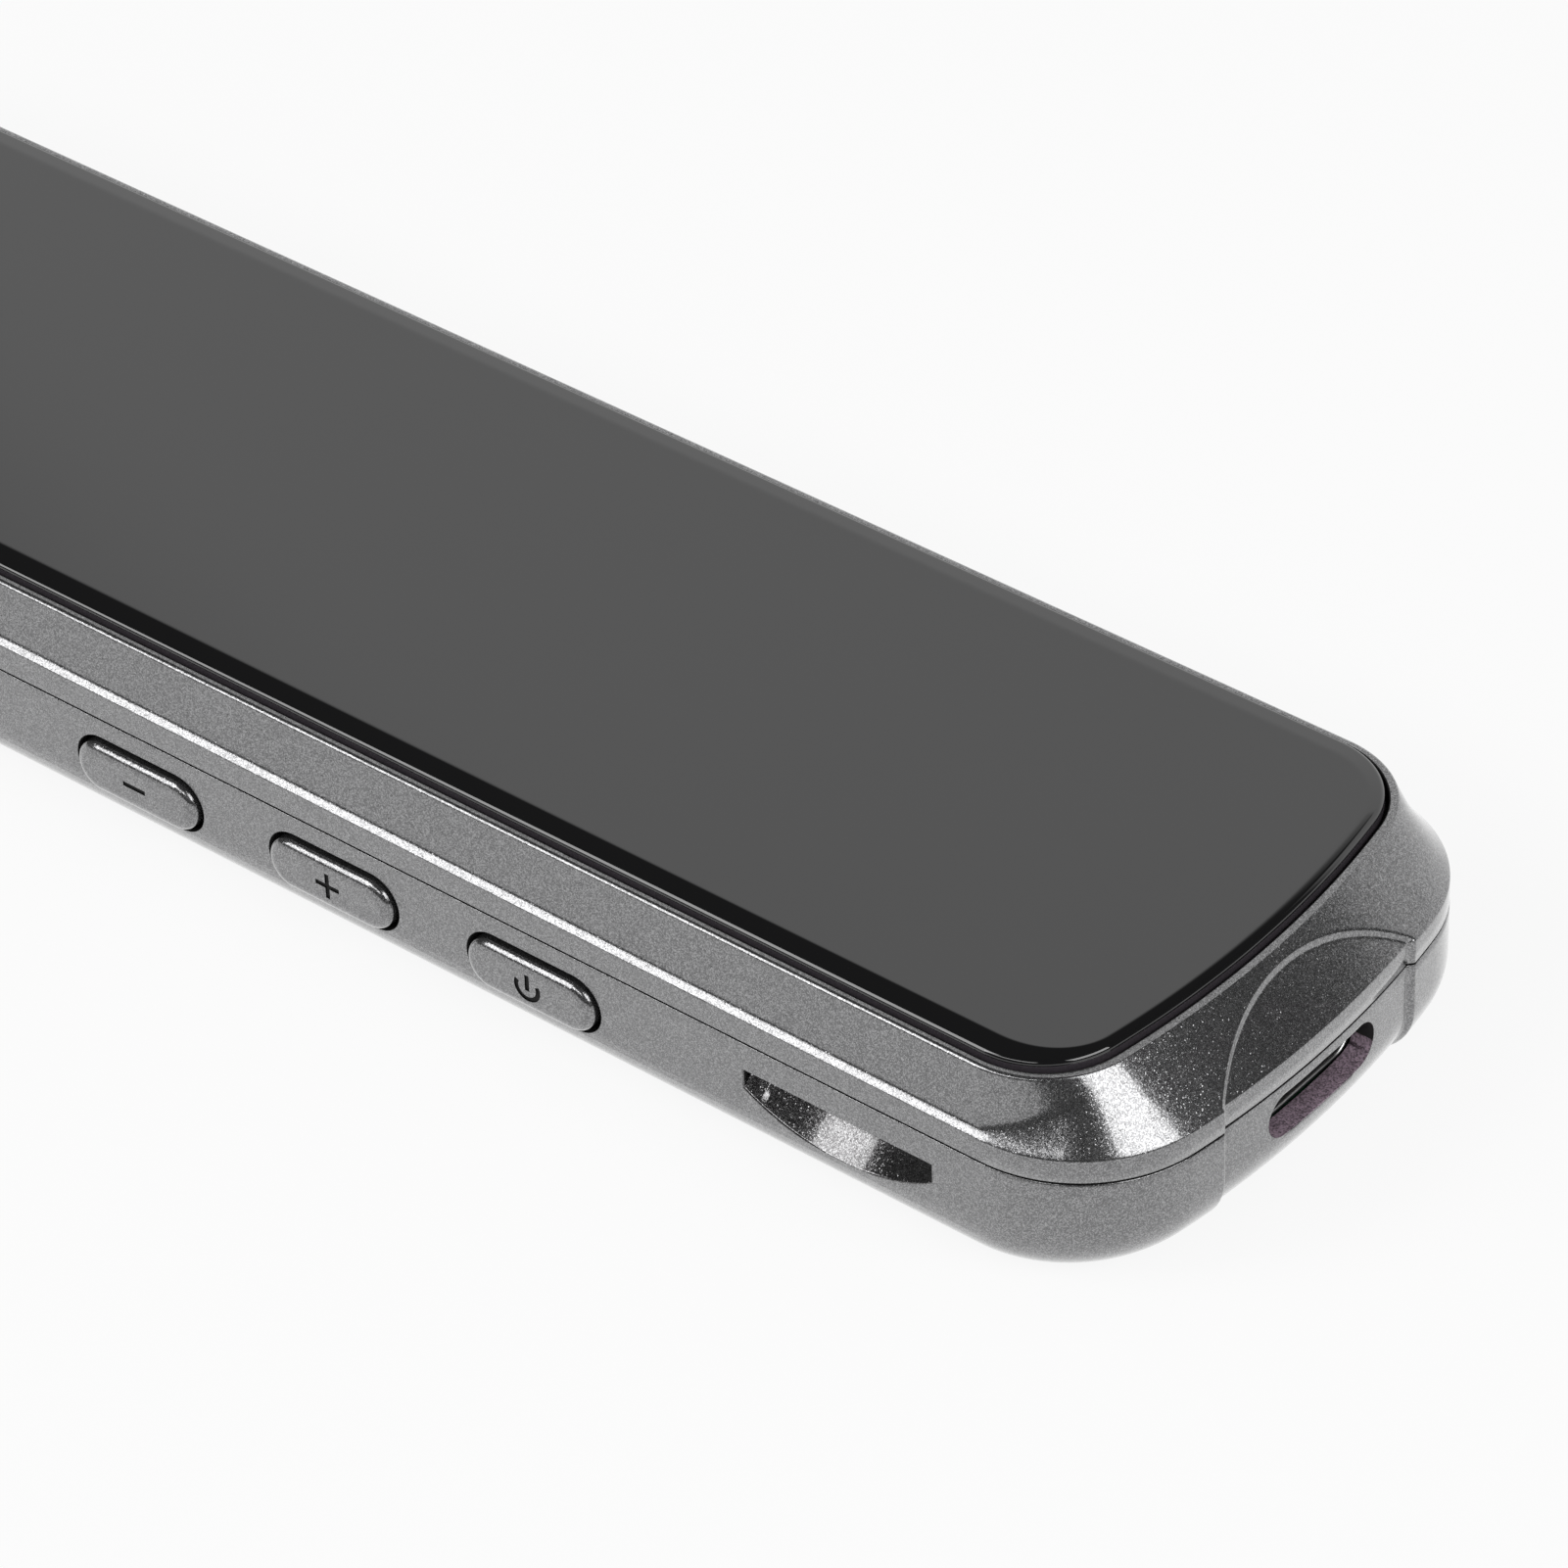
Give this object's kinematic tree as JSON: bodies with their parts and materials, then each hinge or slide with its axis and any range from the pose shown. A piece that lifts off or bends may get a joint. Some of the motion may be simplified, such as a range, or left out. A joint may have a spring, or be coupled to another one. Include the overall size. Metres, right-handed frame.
{
  "type": "scanning pen",
  "caption": "Handheld text-scanning pen: slim painted case with a long touch screen, side keys, a strap slot, a USB socket and a press-to-scan tip.",
  "frame": {"origin": "middle of the flat underside, half way along the overall length with the tip", "axes": "+X towards the USB end, -X towards the scanning tip, +Z out of the screen, -Y towards the side with the keys"},
  "size_m": [0.1507, 0.0331, 0.0124],
  "materials": {
    "gunmetal_paint": "metal-flake paint over plastic, satin",
    "black_glass": "polished, printed black behind",
    "dark_screen": "display panel, switched off",
    "white_plastic": "plain",
    "steel": "plain sheet and screws",
    "black_foam": "foam and tape",
    "black_plastic": "moulded",
    "grey_rubber": "moulded",
    "green_board": "circuit board lacquer",
    "silver_wrap": "laminated foil",
    "copper": "plain foil",
    "smoked_plastic": "glossy, dark and slightly see-through",
    "clear_plastic": "clear",
    "lamp_white": "small white lamp"
  },
  "bodies": {
    "case": {"lower_case": "gunmetal_paint", "upper_frame": "gunmetal_paint", "cover_glass": "black_glass", "glass_tape": "black_foam", "display_panel": "dark_screen", "backlight": "white_plastic", "middle_plate": "steel", "power_switch": "black_plastic", "volume_up_switch": "black_plastic", "volume_down_switch": "black_plastic", "key_board": "green_board", "usb_shell": "steel", "usb_tongue": "black_plastic", "main_board": "green_board", "board_screw_1": "steel", "board_screw_2": "steel", "board_screw_3": "steel", "board_screw_4": "steel", "processor_shield": "steel", "radio_module": "steel", "memory_chip": "black_plastic", "display_connector": "black_plastic", "battery_connector": "white_plastic", "microphone": "steel", "battery": "silver_wrap", "battery_tape": "black_foam", "speaker": "black_plastic", "speaker_gasket": "black_foam", "aerial": "copper", "tip_switch": "black_plastic", "lamp_board": "green_board", "scan_lamp_left": "lamp_white", "scan_lamp_right": "lamp_white", "camera_block": "black_plastic", "camera_barrel": "black_plastic", "camera_lens": "clear_plastic", "camera_bracket": "black_plastic", "bracket_screw_1": "steel", "bracket_screw_2": "steel"},
    "power_key": {"power_button": "gunmetal_paint", "power_plunger": "grey_rubber"},
    "volume_up_key": {"volume_up_button": "gunmetal_paint", "volume_up_plunger": "grey_rubber"},
    "volume_down_key": {"volume_down_button": "gunmetal_paint", "volume_down_plunger": "grey_rubber"},
    "tip": {"scan_tip": "smoked_plastic", "scan_window": "clear_plastic", "tip_plunger": "grey_rubber"}
  },
  "joints": [
    {"name": "power_key_press", "type": "slide", "parent": "case", "child": "power_key", "axis": [0, 1, 0], "range_m": [0, 0.00035], "stiffness_N_per_m": 3000},
    {"name": "volume_up_key_press", "type": "slide", "parent": "case", "child": "volume_up_key", "axis": [0, 1, 0], "range_m": [0, 0.00035], "stiffness_N_per_m": 3000},
    {"name": "volume_down_key_press", "type": "slide", "parent": "case", "child": "volume_down_key", "axis": [0, 1, 0], "range_m": [0, 0.00035], "stiffness_N_per_m": 3000},
    {"name": "tip_press", "type": "slide", "parent": "case", "child": "tip", "axis": [1, 0, 0], "range_m": [0, 0.0008], "stiffness_N_per_m": 1200}
  ]
}
